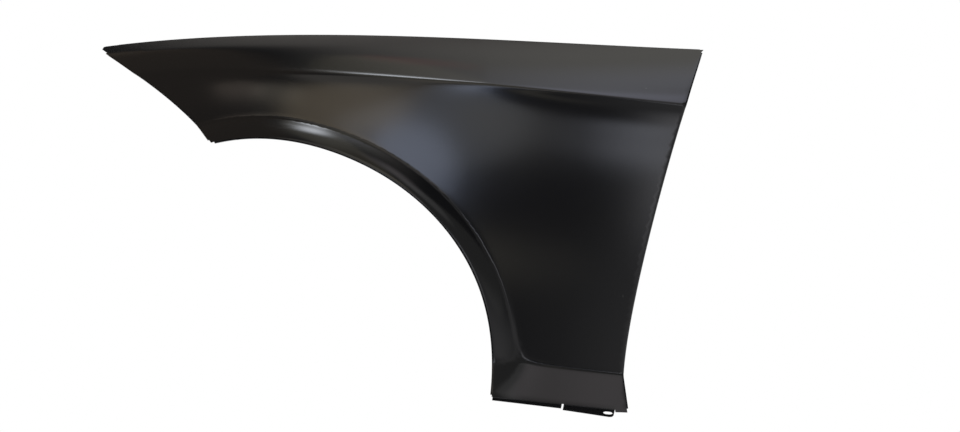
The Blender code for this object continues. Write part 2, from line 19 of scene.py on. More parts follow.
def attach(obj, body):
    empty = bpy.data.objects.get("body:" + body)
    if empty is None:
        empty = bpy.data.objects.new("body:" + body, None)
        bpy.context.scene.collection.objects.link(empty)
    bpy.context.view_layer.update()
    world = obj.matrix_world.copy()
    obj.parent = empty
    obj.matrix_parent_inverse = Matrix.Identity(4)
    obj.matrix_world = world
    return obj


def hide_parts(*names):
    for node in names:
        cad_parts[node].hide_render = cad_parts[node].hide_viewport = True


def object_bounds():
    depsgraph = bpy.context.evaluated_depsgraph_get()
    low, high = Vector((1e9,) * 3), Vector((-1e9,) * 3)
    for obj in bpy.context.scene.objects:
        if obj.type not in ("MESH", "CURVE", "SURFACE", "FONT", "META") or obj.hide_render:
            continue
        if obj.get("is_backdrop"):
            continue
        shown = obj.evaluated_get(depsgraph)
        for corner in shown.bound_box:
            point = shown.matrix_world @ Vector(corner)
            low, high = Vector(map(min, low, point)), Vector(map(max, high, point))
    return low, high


bl_info = {
    "name": "Car Fender",
    "version": (1, 0, 0),
    "blender": (4, 5, 0),
    "location": "View3D > Sidebar > Fender",
    "description": "Builds a coated steel car fender and its studio",
    "category": "Object",
}

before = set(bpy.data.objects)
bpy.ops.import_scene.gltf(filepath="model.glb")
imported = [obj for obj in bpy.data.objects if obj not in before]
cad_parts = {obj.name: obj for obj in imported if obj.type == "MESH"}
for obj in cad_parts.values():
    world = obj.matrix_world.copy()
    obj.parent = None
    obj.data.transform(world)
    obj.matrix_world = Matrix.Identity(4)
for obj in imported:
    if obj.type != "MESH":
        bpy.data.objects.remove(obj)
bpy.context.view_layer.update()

MM = 0.001
INBOARD = Vector((0, 1, 0))
DOWN = Vector((0, 0, -1))

# Side view: bend lines, each a Bezier curve of end, handle, handle, end
TOP_EDGE = ((-342.3, 501.7), (-14.6, 568.2), (331.1, 573.4), (657.5, 595.5))
LAMP_EDGE = ((-147.6, 377.9), (-206.0, 428.1), (-276.1, 463.5), (-343.3, 496.6))
DOOR_EDGE_UPPER = ((653.2, 590.2), (645.5, 562), (636, 529), (629.5, 496))
DOOR_EDGE_LOWER = ((629.5, 496), (607.1, 384.9), (573, 161.2), (579.3, 53.3))
SILL_CORNER = ((592.8, -3.8), (573.7, -5.3), (572.2, -0.9))

# Wheel arch, not quite round: radius by angle from the vertical toward the rear
ARCH_PROFILE = ((-19.65, 378.9), (19.0, 371.5), (60.5, 376.5), (90.39, 372.7))

# Character line, a convex crest from the headlamp edge to the door
CREST_FRONT = ((-369.7, 431), (-212.9, 490.9), (107.3, 491.1), (306.4, 497.6))
CREST_REAR = (660, 497.6)
CREST_ROUND_FRONT = 1.7
CREST_ROUND_REAR = 0.7
CREST_ROUND_SPAN = (-100.0, 470.0)

# Shoulder above the crest, rolling in to the bonnet edge
SHOULDER_RUN_FRONT = 68.0
SHOULDER_RUN_REAR = 100.0
SHOULDER_LOWER_SHARE = 0.58
SHOULDER_ROLL_PLACE = 0.67
SHOULDER_ROLL_FRONT = 0.05
SHOULDER_ROLL_REAR = 0.55

# Side below the crest, and the plan curve with its tighter nose
UNDERCUT = 6.0
UNDERCUT_REACH = 20.0
UNDERCUT_START = 120.0
UNDERCUT_FULL = 470.0
SIDE_TUCK = 40.0
SIDE_POWER = 1.7
PLAN_RADIUS = 3500.0
NOSE_TUCK = 30.0
NOSE_START = 120.0
NOSE_POWER = 2.3

# Flared band round the arch and along the sill, past an L-shaped concave crease
BAND_WIDTH = 31.0
FLARE = 15.0
FLARE_CROWN = 0.6
SILL_BAND_HEIGHT = 54.9
SILL_LEAN = 0.36
FLARE_BLEND = 8.0
CREASE_ROUND = 0.5
CREASE_FILLET = 16.0

# Bonnet-side gutter: a wall down from the top edge and a stepped flange with slotted pads
GUTTER_RADIUS = 4.0
GUTTER_STEPS = 8
GUTTER_DEPTH = 24.0
GUTTER_DEPTH_TIP = 15.0
GUTTER_WIDTH = 15.0
GUTTER_START = 32.0
PAD_PLACES = (-236.0, 26.0, 306.0, 594.0)
PAD_LENGTH = 58.0
PAD_WIDTH = 30.0
PAD_SLOT = (13.0, 8.0)
PAD_SLOT_FORWARD = 10.0
PAD_SEAT_BACK = 14.0

# Turned flanges, each wider at its bolted tabs
FOLD_STEPS = 6
DOOR_FLANGE = 16.0
DOOR_TAB = 34.0
DOOR_TAB_HEIGHTS = (440.0, 128.0)
DOOR_TAB_LENGTH = 46.0
DOOR_HOLE = 8.0
DOOR_HOLE_INSET = 21.0
LAMP_FLANGE = 11.0
LAMP_TAB = 30.0
LAMP_TAB_PLACE = 78.0
LAMP_TAB_LENGTH = 40.0
LAMP_HOLE = 7.0
LAMP_HOLE_INSET = 18.0
LAMP_STOP = 14.0
ARCH_FLANGE = 14.0
ARCH_HOLES = 6
ARCH_HOLE = 6.5
ARCH_HOLE_MARGIN = 45.0
TAB_BLEND = 16.0
END_WIDTH = 0.3
CORNER_RELIEF = 6.0

# Sill flange, folded in and down: a slotted tab at the rear, a notch and a plain front piece
SILL_SLOPE = 30.0
SILL_TAB_STOP = 106.5
SILL_TAB_WIDTH = 25.0
SILL_TAB_WIDTH_FRONT = 16.0
SILL_TAB_ROUND = 8.0
SILL_TAB_ROUND_STOPS = (0.15, 0.35, 0.6, 1)
SILL_NOTCH = 3.0
SILL_FRONT_WIDTH = 11.0
SILL_FRONT_WIDTH_TIP = 7.0
SILL_FRONT_RELIEF = 1.5
SILL_SLOT = (15.0, 11.0)
SILL_SLOT_PLACE = 34.0
SILL_SLOT_INSET = 10.5

# Mesh rows: distances from the crest, shares of the shoulder and distances onto the band. A stretch
# may run LONG_STEP over a whole number of steps, and a row breaks where it gapes ROW_GAP steps.
LEAST_STEP = 1.0
LONG_STEP = 0.2
CREST_ROWS = (-16.0, -10.0, -6.0, -3.0, -1.2, 1.2, 3.0, 6.0)
SHOULDER_ROWS = (0.3, 0.45, 0.55, 0.61, 0.645, 0.67, 0.7, 0.75, 0.85)
BAND_ROWS = (-12.0, -6.0, -2.5, -1.0, 1.0, 2.5, 5.0, 8.0, 11.5, 15.0, 19.0, 23.0, 27.0)
ROW_CLEARANCE = 1.0
ROW_GAP = 1.5
FILLET_POINTS = 6
LEAST_FILLET = 1.0
CURVE_POINTS = 240
HOLE_SIDES = 32
HOLE_REACH = 2.4
SHARP_FOLD = 40.0

# Centres of the picture and of the room
AIM = Vector((322.67, 0, 285.08))
ROOM_CENTRE = Vector((162.5, 0, 290))

# Soft glows on the studio's dark wall, seen only in the gloss. Each has its azimuth, elevation,
# width, height and tilt in degrees from the room's centre, where azimuth 0 is the way to the
# camera, then its softness and its colour against a white of 1. Past GLOW_EDGE a direction is
# too far round from a glow to show it. A least-squares program fitted most of these numbers to
# the gloss in the photo, and the rest were set one by one.
GLOWS = {
    "window": (-14.3, -3.3, 25.3, 10.2, 11, 0.2, (0.89, 0.94, 1.05)),
    "window_core": (-14.6, -7.2, 13.1, 12.7, 60, 0.24, (1.62, 1.87, 2.56)),
    "side_wall": (-23.2, -0.1, 20.3, 9, 3, 0.36, (1.49, 1.24, 0.9)),
    "door_light": (3.8, -2.6, 16.3, 4.1, -2, 0.99, (2.65, 2.76, 3.14)),
    "low_light": (8.8, -5.7, 13, 21, 0, 1, (1.46, 1.46, 1.54)),
    "under_window": (-13.3, -14.5, 31.9, 8.8, 0, 1, (0.89, 0.83, 0.68)),
    "wall_front": (-16.7, 12.2, 32.6, 19.8, 17, 0.2, (0.72, 0.68, 0.62)),
    "pillar": (-18, 41.7, 23.6, 100.8, 18, 0.2, (0.35, 0.31, 0.22)),
    "door_head": (5.4, 34.4, 26, 30.7, 0, 1, (1.04, 0.97, 0.99)),
    "roof_strip": (17.4, 71.6, 22.3, 16.1, 0, 0.2, (0.63, 0.65, 0.9)),
    "front_lamp": (-39, 59.2, 9.4, 5.9, 0, 0.2, (1.41, 1.45, 1.54)),
    "ceiling": (14.3, 97.1, 52, 128.1, 0, 0.97, (0.46, 0.43, 0.4)),
    "ceiling_rear": (67.2, 87.1, 150, 52.4, 0, 1, (0.67, 0.67, 0.62)),
    "rear_floor": (64.7, -30.1, 133.2, 85.4, 0, 1, (0.94, 0.93, 0.94)),
    "front_wall": (-87.6, 22.2, 116.5, 91, 0, 0.26, (0.18, 0.14, 0.1)),
    "rear_level": (30, 14.5, 73.8, 37.1, 0, 0.2, (0.19, 0.19, 0.18)),
    "roof_edge": (59.9, 82.1, 86.2, 29.7, 0, 1, (0.47, 0.52, 0.75)),
    "oval": (-32.5, 1.3, 8.5, 3.5, 0, 0.2, (1.05, 0.96, 0.79)),
    "streak": (-38, 1.5, 9.2, 3.5, 0, 0.34, (0.89, 0.75, 0.64)),
    "gold_top": (-95, 80, 14, 10, 0, 0.7, (0.25, 0, 0)),
    "door_top": (-4.4, 3.9, 7, 5.9, 0, 0.2, (0.64, 0.55, 0.61)),
    "arch_spot": (-28, 57, 16, 26, 0, 1, (9.6, 10.1, 11)),
    "corner_fill": (15, 25, 26, 18, 0, 0.5, (0.36, 0.36, 0.36)),
    "door_side": (110, 0, 70, 60, 0, 0.8, (0.7, 0.7, 0.7)),
    "back_wall": (180, -4, 120, 46, 0, 1, (0.8, 0.8, 0.8)),
    "back_lamp": (205, 4, 34, 22, 0, 0.8, (0.7, 0.7, 0.72)),
}
GLOW_EDGE = 0.05

# Floor: share of its radius where it starts to fade, and its matt surface
FLOOR_FADE = 0.55
FLOOR_ROUGHNESS = 0.9
FLOOR_SHEEN = 0.1
ROUND_SIDES = 96

# Coat: a second, wider orange peel over the fine one, cloudy gloss, and specks in scattered cells
WIDE_PEEL = 5.0
WIDE_PEEL_DEPTH = 2.5
CLOUD_SCALE = 9.0
CLOUD_DETAIL = 4.0
CLOUD_ROUGHNESS = 0.6
SPECK_CELLS = 95.0
SPECK_SIZE = 0.09
OUTER_PEEL = 0.5
INNER_PEEL = 0.8


# Curves

def bezier(points):
    """Dense polyline of a Bezier curve in the side view."""
    end, handle, other_handle, other_end = (Vector((x, z)) for x, z in points)
    return interpolate_bezier(end, handle, other_handle, other_end, CURVE_POINTS)


def arc(centre, radius, start, stop, count):
    """Points on a circle, angles in degrees from the vertical toward the rear."""
    angles = np.radians(np.linspace(start, stop, count))
    return [Vector((centre[0] + radius * sin(a), centre[1] + radius * cos(a))) for a in angles]


def lengths(line):
    """Distance from the start of a polyline to each of its points."""
    steps = [(b - a).length for a, b in zip(line, line[1:])]
    return np.concatenate(([0.0], np.cumsum(steps)))


def at_distances(line, distances):
    """Points of a polyline at the given distances along it."""
    run = lengths(line)
    xs = np.interp(distances, run, [p[0] for p in line])
    zs = np.interp(distances, run, [p[1] for p in line])
    return [Vector(pair) for pair in zip(xs, zs)]


def crossing(line, value):
    """Distance along a polyline at which value(point) changes sign."""
    run = lengths(line)
    values = [value(p) for p in line]
    for i, (here, there) in enumerate(zip(values, values[1:])):
        if (here < 0) != (there < 0):
            return run[i] + (run[i + 1] - run[i]) * here / (here - there)
    raise ValueError("the two lines do not meet")


def stations(length, step, marks):
    """Distances from 0 to length at about one step, with every mark among them."""
    stops = [0.0]
    for mark in sorted([*marks, length]):
        if mark - stops[-1] > LEAST_STEP:
            stops.append(mark)
    stops[-1] = length
    result = [0.0]
    for start, stop in zip(stops, stops[1:]):
        count = max(1, ceil((stop - start) / step - LONG_STEP))
        result += [start + (stop - start) * k / count for k in range(1, count + 1)]
    return result


def line_table(line):
    """The x and the z values of a polyline."""
    return [p[0] for p in line], [p[1] for p in line]


TOP_LINE = bezier(TOP_EDGE)
TOP_XS, TOP_ZS = line_table(TOP_LINE)
CREST_XS, CREST_ZS = line_table([*bezier(CREST_FRONT), Vector(CREST_REAR)])


def top_height(x):
    return float(np.interp(x, TOP_XS, TOP_ZS))


def crest_height(x):
    return float(np.interp(x, CREST_XS, CREST_ZS))


def blend(value, low, high):
    """Smooth step from 0 at low to 1 at high."""
    t = min(1.0, max(0.0, (value - low) / (high - low)))
    return t * t * (3 - 2 * t)


def between(low, high, share):
    """Value at a share of the way from low to high."""
    return low + (high - low) * share


def smooth_min(a, b, rounding):
    """The lesser of two values, rounded where they cross."""
    return 0.5 * (a + b - sqrt((a - b) ** 2 + 4 * rounding ** 2))


def smooth_max(a, b, rounding):
    return -smooth_min(-a, -b, rounding)


# Wheel arch and the crease beside it

def arch_radius(angle):
    """Radius of the arch at an angle, eased between the places of its profile."""
    for (start, radius), (stop, next_radius) in zip(ARCH_PROFILE, ARCH_PROFILE[1:]):
        if angle <= stop:
            return between(radius, next_radius, blend(angle, start, stop))
    return next_radius


def arch_row(offset, start, stop, count):
    """Points at an offset outside the arch, from one angle to another."""
    angles = np.linspace(start, stop, count)
    return [arc((0, 0), arch_radius(angle) + offset, angle, angle, 1)[0] for angle in angles]


def beyond_arch(x, z):
    """Distance of a point outside the arch."""
    return hypot(x, z) - arch_radius(degrees(atan2(x, z)))


def fillet_centre():
    """Centre of the fillet, which touches the crease over the arch and over the sill."""
    start, stop = ARCH_PROFILE[-2][0], ARCH_PROFILE[-1][0]
    row = arch_row(BAND_WIDTH + CREASE_FILLET, start, stop, CURVE_POINTS)
    over_sill = crossing(row, lambda p: p[1] - SILL_BAND_HEIGHT - CREASE_FILLET)
    return at_distances(row, [over_sill])[0]


FILLET = fillet_centre()
FILLET_ANGLE = degrees(atan2(*FILLET))


def crease_row(offset, front_angle, rear_x, step):
    """Polyline parallel to the crease, offset onto the band."""
    length = radians(FILLET_ANGLE - front_angle) * (ARCH_PROFILE[0][1] + BAND_WIDTH)
    row = arch_row(BAND_WIDTH - offset, front_angle, FILLET_ANGLE, ceil(length / step) + 1)
    radius = max(LEAST_FILLET, CREASE_FILLET + offset)
    row += arc(FILLET, radius, FILLET_ANGLE + 180, 180, FILLET_POINTS)[1:]
    count = ceil((rear_x - FILLET[0]) / step) + 1
    return row + [Vector((x, SILL_BAND_HEIGHT - offset)) for x in np.linspace(FILLET[0], rear_x, count)[1:]]


# Skin

def shoulder(x, above, height):
    """Depth of the shoulder, which rolls in from the crest to the bonnet edge."""
    along = blend(x, TOP_EDGE[0][0], TOP_EDGE[-1][0])
    run = between(SHOULDER_RUN_FRONT, SHOULDER_RUN_REAR, along)
    softness = between(SHOULDER_ROLL_FRONT, SHOULDER_ROLL_REAR, along)

    def ramp(share):
        return share - SHOULDER_ROLL_PLACE + hypot(share - SHOULDER_ROLL_PLACE, softness)

    share = above / height
    roll = (ramp(share) - ramp(0)) / (ramp(1) - ramp(0))
    return -run * (SHOULDER_LOWER_SHARE * share + (1 - SHOULDER_LOWER_SHARE) * roll)


def side(x, below, crest):
    """Depth of the side below the crest: undercut, and tuck to the sill."""
    span = crest - SILL_BAND_HEIGHT
    tuck = SIDE_TUCK * (min(below, span) / span) ** SIDE_POWER
    undercut = UNDERCUT * blend(x, UNDERCUT_START, UNDERCUT_FULL) * (1 - exp(-below / UNDERCUT_REACH))
    return -undercut - tuck


def flare(x, z):
    """Outward flare past the crease: crowned to the arch lip, straight to the sill."""
    inward = min(1.0, 1 - beyond_arch(x, z) / BAND_WIDTH)
    over_arch = FLARE * inward * (1 + FLARE_CROWN * (1 - inward))
    over_sill = SILL_LEAN * (SILL_BAND_HEIGHT - z)
    return smooth_max(0.0, smooth_max(over_arch, over_sill, FLARE_BLEND), CREASE_ROUND)


def skin_depth(x, z):
    """Depth of the outer face, outboard of the crest at the door."""
    crest = crest_height(x)
    above = z - crest
    rounding = between(CREST_ROUND_FRONT, CREST_ROUND_REAR, blend(x, *CREST_ROUND_SPAN))
    upper = shoulder(x, above, top_height(x) - crest)
    body = smooth_min(upper, side(x, max(0.0, -above), crest), rounding)
    nose = NOSE_TUCK * (max(0.0, NOSE_START - x) / (NOSE_START - TOP_EDGE[0][0])) ** NOSE_POWER
    plan = (TOP_EDGE[-1][0] - x) ** 2 / (2 * PLAN_RADIUS)
    return body - plan - nose + flare(x, z)


def on_skin(point):
    """Place on the outer face of a point of the side view."""
    return Vector((point[0], -skin_depth(point[0], point[1]), point[1]))


def skin_normal(point):
    """Outboard normal of the outer face, from its slopes over a reach of 1 mm each way."""
    reach = 1.0
    x, z = point
    slope_x = (skin_depth(x + reach, z) - skin_depth(x - reach, z)) / (2 * reach)
    slope_z = (skin_depth(x, z + reach) - skin_depth(x, z - reach)) / (2 * reach)
    return Vector((-slope_x, -1, -slope_z)).normalized()


def outline():
    """Stretches of the skin's edge by name, clockwise as seen from outboard."""
    corner = [Vector(point) for point in SILL_CORNER]
    arch = arch_row(0, ARCH_PROFILE[-1][0], ARCH_PROFILE[0][0], CURVE_POINTS)
    lamp = [arch[-1], *bezier(LAMP_EDGE)]
    top = [lamp[-1], *TOP_LINE]
    door = [top[-1], *bezier(DOOR_EDGE_UPPER), *bezier(DOOR_EDGE_LOWER)[1:], corner[0]]
    return {"lamp": lamp, "top": top, "door": door, "sill": [*corner, arch[0]], "arch": arch}


def past_crest(point):
    """Height of a point over the crest, below 0 under it."""
    return point[1] - crest_height(point[0])


# Folds

class Tab:
    """Flat seat of a flange: a point on its bend, and its directions along, across and out."""

    def __init__(self, centre, along, across):
        self.centre = centre
        self.along = along
        self.across = across
        self.normal = along.cross(across).normalized()

    def point(self, along, across):
        return self.centre + self.along * along + self.across * across


def bend(start, heading, target, radius, steps):
    """Arc of a fold that turns from one heading to another, without its start."""
    turn = heading.angle(target)
    points = []
    for k in range(1, steps + 1):
        angle = turn * k / steps
        forward = (cos(turn - angle) - cos(turn)) / sin(turn)
        turned = (1 - cos(angle)) / sin(turn)
        points.append(start + radius * (forward * heading + turned * target))
    return points


def run(start, heading, length, parts):
    """Points along a straight run, without its start."""
    return [start + heading * (length * k / parts) for k in range(1, parts + 1)]


def tab_marks(tabs, length):
    """Distances of the middle, the ends and the blends of each tab."""
    half = length / 2
    return [tab + side * step for tab in tabs for side in (-1, 1)
            for step in (0, half, half + TAB_BLEND / 2, half + TAB_BLEND)]


def tab_share(distance, tabs, length):
    """1 on a tab and 0 clear of it, with a blend at each end."""
    nearest = min(abs(distance - tab) for tab in tabs)
    return 1 - blend(nearest, length / 2, length / 2 + TAB_BLEND)


def flange_width(distance, plain, wide, tabs, length, start, stop):
    """Width of a flange: plain, wide on its tabs, and tapered to its ends."""
    width = between(plain, wide, tab_share(distance, tabs, length))
    return width * taper(distance, start, stop)


def taper(distance, start, stop):
    """Share of the width near a flange's ends, whose corners are cut off."""
    reach = min(distance - start, stop - distance) / TAB_BLEND
    return min(1.0, END_WIDTH + (1 - END_WIDTH) * reach)


def gutter_level(x):
    """Height of the gutter flange: level on each pad and sloped between them."""
    half = PAD_LENGTH / 2
    xs = [TOP_EDGE[0][0]]
    levels = [TOP_EDGE[0][1] - GUTTER_DEPTH_TIP]
    for place in PAD_PLACES:
        level = top_height(place) - GUTTER_DEPTH
        xs += [place - half - 1, place + half + 1]
        levels += [level, level]
    xs.append(TOP_EDGE[-1][0])
    levels.append(TOP_EDGE[-1][1] - GUTTER_DEPTH)
    return float(np.interp(x, xs, levels))


def inside(points, loop):
    """Which points lie within a closed outline, by the even-odd test."""
    spots = np.array([p[:2] for p in points])
    corners = np.array([p[:2] for p in loop])
    result = np.zeros(len(spots), bool)
    for a, b in zip(corners, np.roll(corners, -1, axis=0)):
        if a[1] == b[1]:
            continue
        spans = (a[1] > spots[:, 1]) != (b[1] > spots[:, 1])
        reach = a[0] + (b[0] - a[0]) * (spots[:, 1] - a[1]) / (b[1] - a[1])
        result ^= spans & (spots[:, 0] < reach)
    return [point for point, within in zip(points, result) if within]


def clear_of(points, others, clearance):
    """The points that keep a clearance to all the others."""
    tree = KDTree(len(others))
    for i, other in enumerate(others):
        tree.insert(other.to_3d(), i)
    tree.balance()
    return [point for point in points if tree.find(point.to_3d())[2] > clearance]


class Pressing:
    """The panel's outline, folded flanges and seats at one fold radius and mesh spacing."""

    def __init__(self, sheet, fold_radius, edge_step, grid_step):
        self.sheet = sheet
        self.fold_radius = fold_radius
        self.edge_step = edge_step
        self.grid_step = grid_step
        self.lines = outline()
        self.length_of = {name: lengths(line)[-1] for name, line in self.lines.items()}
        self.mark_places()
        self.fold_flanges()

    def mark_places(self):
        """Where creases and tabs lie along the outline, and the stations between them."""
        lines, length_of = self.lines, self.length_of
        self.lamp_crease = crossing(lines["lamp"], lambda p: beyond_arch(*p) - BAND_WIDTH)
        self.lamp_crest = crossing(lines["lamp"], past_crest)
        self.door_crest = crossing(lines["door"], past_crest)
        self.door_crease = crossing(lines["door"], lambda p: p[1] - SILL_BAND_HEIGHT)
        self.top_tabs = [crossing(lines["top"], lambda p: p[0] - x) for x in PAD_PLACES]
        self.door_tabs = [crossing(lines["door"], lambda p: p[1] - z) for z in DOOR_TAB_HEIGHTS]
        self.door_start = lengths(lines["door"])[1]
        self.sill_free, self.sill_start = lengths(lines["sill"])[1:3]
        self.sill_front = SILL_TAB_STOP + SILL_NOTCH
        self.sill_middle = (self.sill_start + SILL_TAB_STOP) / 2
        marks = {
            "lamp": [CORNER_RELIEF, self.lamp_crease, self.lamp_crest, length_of["lamp"] - LAMP_STOP,
                     *tab_marks([LAMP_TAB_PLACE], LAMP_TAB_LENGTH)],
            "top": [GUTTER_START, length_of["top"] - CORNER_RELIEF, *tab_marks(self.top_tabs, PAD_LENGTH)],
            "door": [self.door_start, self.door_crest, self.door_crease, length_of["door"] - CORNER_RELIEF,
                     *tab_marks(self.door_tabs, DOOR_TAB_LENGTH)],
            "sill": [self.sill_free, self.sill_start, self.sill_middle, SILL_TAB_STOP, self.sill_front,
                     *(self.sill_start + SILL_TAB_ROUND * share for share in SILL_TAB_ROUND_STOPS),
                     length_of["sill"] - SILL_FRONT_RELIEF],
            "arch": [CORNER_RELIEF / 2, length_of["arch"] - CORNER_RELIEF],
        }
        self.stops = {name: stations(length_of[name], self.edge_step, marks[name]) for name in lines}
        self.edge = {name: at_distances(lines[name], self.stops[name]) for name in lines}

    def index_at(self, name, distance):
        """Number of the station of a stretch at a distance along it."""
        return int(np.argmin(np.abs(np.array(self.stops[name]) - distance)))

    def strip(self, name, start, stop, section):
        """First station of a flange and the points across it at each of its stations."""
        spots = [on_skin(point) for point in self.edge[name]]
        first, last = self.index_at(name, start), self.index_at(name, stop)
        rows = []
        for i in range(first, last + 1):
            tangent = (spots[min(i + 1, last)] - spots[max(i - 1, first)]).normalized()
            heading = skin_normal(self.edge[name][i]).cross(tangent).normalized()
            rows.append(section(self.stops[name][i], spots[i], heading, tangent))
        return name, first, rows

    def flatten(self, flange, distance, length, bends):
        """Brings the rows of a tab, past its bends, onto one plane, and gives its frame."""
        name, first, rows = flange
        low, middle, high = (self.index_at(name, distance + length * share) - first
                             for share in (-0.5, 0, 0.5))
        flat = bends - 1
        centre = rows[middle][flat]
        along = (rows[high][flat] - rows[low][flat]).normalized()
        across = (rows[middle][flat + 1] - centre).normalized()
        across = (across - along * across.dot(along)).normalized()
        tab = Tab(centre, along, across)
        for row in rows[low:high + 1]:
            for k in range(flat, len(row)):
                row[k] = row[k] - tab.normal * (row[k] - centre).dot(tab.normal)
        return tab

    def turned(self, start, heading, width, target=INBOARD, parts=2):
        """Fold and straight run of a flange."""
        points = bend(start, heading, target, self.fold_radius, FOLD_STEPS)
        return points + run(points[-1], target, width, parts)

    def gutter_section(self, distance, start, heading, tangent):
        inward = Vector((-tangent.y, tangent.x, 0)).normalized()
        width = flange_width(distance, GUTTER_WIDTH, PAD_WIDTH, self.top_tabs, PAD_LENGTH,
                             GUTTER_START, self.length_of["top"] - CORNER_RELIEF)
        points = bend(start, heading, DOWN, GUTTER_RADIUS, GUTTER_STEPS)
        drop = points[-1].z - gutter_level(start.x) - self.fold_radius
        points += run(points[-1], DOWN, drop, 1)
        return points + self.turned(points[-1], DOWN, width, inward)

    def door_section(self, distance, start, heading, tangent):
        width = flange_width(distance, DOOR_FLANGE, DOOR_TAB, self.door_tabs, DOOR_TAB_LENGTH,
                             self.door_start, self.length_of["door"] - CORNER_RELIEF)
        return self.turned(start, heading, width)

    def lamp_section(self, distance, start, heading, tangent):
        width = flange_width(distance, LAMP_FLANGE, LAMP_TAB, [LAMP_TAB_PLACE], LAMP_TAB_LENGTH,
                             CORNER_RELIEF, self.length_of["lamp"] - LAMP_STOP)
        return self.turned(start, heading, width)

    def arch_section(self, distance, start, heading, tangent):
        return self.turned(start, heading, ARCH_FLANGE * taper(distance, 0, self.length_of["arch"]), parts=1)

    def sill_width(self, distance):
        """Width of the sill flange, whose rear tab has a rounded end."""
        if distance > SILL_TAB_STOP + SILL_NOTCH / 2:
            share = (distance - self.sill_front) / (self.length_of["sill"] - self.sill_front)
            return between(SILL_FRONT_WIDTH, SILL_FRONT_WIDTH_TIP, share)
        share = (distance - self.sill_start) / (SILL_TAB_STOP - self.sill_start)
        width = between(SILL_TAB_WIDTH, SILL_TAB_WIDTH_FRONT, share)
        short = max(0.0, self.sill_start + SILL_TAB_ROUND - distance)
        return width - SILL_TAB_ROUND + sqrt(max(0.0, SILL_TAB_ROUND ** 2 - short ** 2))

    def sill_section(self, distance, start, heading, tangent):
        inward = Vector((0, cos(radians(SILL_SLOPE)), -sin(radians(SILL_SLOPE))))
        return self.turned(start, heading, self.sill_width(distance), inward)

    def fold_flanges(self):
        """Folds every flange, flattens its tabs, and finds the part's origin."""
        ends = {name: self.length_of[name] - CORNER_RELIEF for name in self.lines}
        gutter = self.strip("top", GUTTER_START, ends["top"], self.gutter_section)
        door = self.strip("door", self.door_start, ends["door"], self.door_section)
        lamp = self.strip("lamp", CORNER_RELIEF, self.length_of["lamp"] - LAMP_STOP, self.lamp_section)
        arch = self.strip("arch", CORNER_RELIEF / 2, ends["arch"], self.arch_section)
        tab = self.strip("sill", self.sill_start, SILL_TAB_STOP, self.sill_section)
        front_end = self.length_of["sill"] - SILL_FRONT_RELIEF
        front = self.strip("sill", self.sill_front, front_end, self.sill_section)
        self.flanges = [gutter, door, lamp, arch, tab, front]

        gutter_bends = GUTTER_STEPS + 1 + FOLD_STEPS
        self.top_seats = [self.flatten(gutter, place, PAD_LENGTH, gutter_bends) for place in self.top_tabs]
        self.door_seats = [self.flatten(door, place, DOOR_TAB_LENGTH, FOLD_STEPS) for place in self.door_tabs]
        self.lamp_seat = self.flatten(lamp, LAMP_TAB_PLACE, LAMP_TAB_LENGTH, FOLD_STEPS)
        self.sill_seat = self.flatten(tab, self.sill_middle, SILL_TAB_STOP - self.sill_start, FOLD_STEPS)
        rearmost = self.top_seats[-1]
        self.origin = rearmost.point(PAD_SEAT_BACK, PAD_WIDTH / 2) - rearmost.normal * self.sheet

    def place(self, point):
        """Row-frame place, in metres, of a point of the shape."""
        return (point - self.origin) * MM

    def grid(self, loop):
        """Staggered points over the box of an outline."""
        low_x, high_x = min(p[0] for p in loop), max(p[0] for p in loop)
        low_z, high_z = min(p[1] for p in loop), max(p[1] for p in loop)
        rise = self.grid_step * sqrt(3) / 2
        points = []
        for row in range(int((high_z - low_z) / rise) + 1):
            shift = self.grid_step / 2 * (row % 2)
            for column in range(int((high_x - low_x) / self.grid_step) + 1):
                points.append(Vector((low_x + shift + self.grid_step * column, low_z + rise * row)))
        return points

    def skin_triangles(self):
        """Skin points and triangles, with the number of each outline station."""
        loop = []
        numbers = {}
        for name in self.lines:
            numbers[name] = list(range(len(loop), len(loop) + len(self.edge[name])))
            loop += self.edge[name][:-1]
        numbers["arch"][-1] = 0
        points = list(loop)
        chains = [list(range(len(loop))) + [0]]

        def add_chain(row, start, stop):
            chains.append([start, *range(len(points), len(points) + len(row)), stop])
            points.extend(row)

        crest_start = numbers["lamp"][self.index_at("lamp", self.lamp_crest)]
        crest_stop = numbers["door"][self.index_at("door", self.door_crest)]
        start, stop = points[crest_start][0], points[crest_stop][0]
        xs = np.linspace(start, stop, ceil((stop - start) / self.edge_step) + 1)[1:-1]
        crest = [Vector((x, crest_height(x))) for x in xs]
        add_chain(crest, crest_start, crest_stop)

        crease_start = numbers["lamp"][self.index_at("lamp", self.lamp_crease)]
        crease_stop = numbers["door"][self.index_at("door", self.door_crease)]
        front_angle = degrees(atan2(*points[crease_start]))
        rear_x = points[crease_stop][0]
        add_chain(crease_row(0, front_angle, rear_x, self.edge_step)[1:-1], crease_start, crease_stop)

        dense = [point for line in self.lines.values() for point in at_distances(
            line, np.arange(0, lengths(line)[-1], ROW_CLEARANCE))]
        rows = [[point + Vector((0, offset)) for point in crest] for offset in CREST_ROWS]
        rows += [[Vector((p[0], p[1] + share * (top_height(p[0]) - p[1]))) for p in crest]
                 for share in SHOULDER_ROWS]
        rows += [crease_row(offset, front_angle, rear_x, self.edge_step) for offset in BAND_ROWS]
        for row in rows:
            kept = clear_of(inside(row, loop), points + dense, ROW_CLEARANCE)
            for i, (point, after) in enumerate(zip(kept, kept[1:])):
                if (after - point).length < ROW_GAP * self.edge_step:
                    chains.append([len(points) + i, len(points) + i + 1])
            points += kept
        points += clear_of(inside(self.grid(loop), loop), points + dense, self.grid_step / 2)

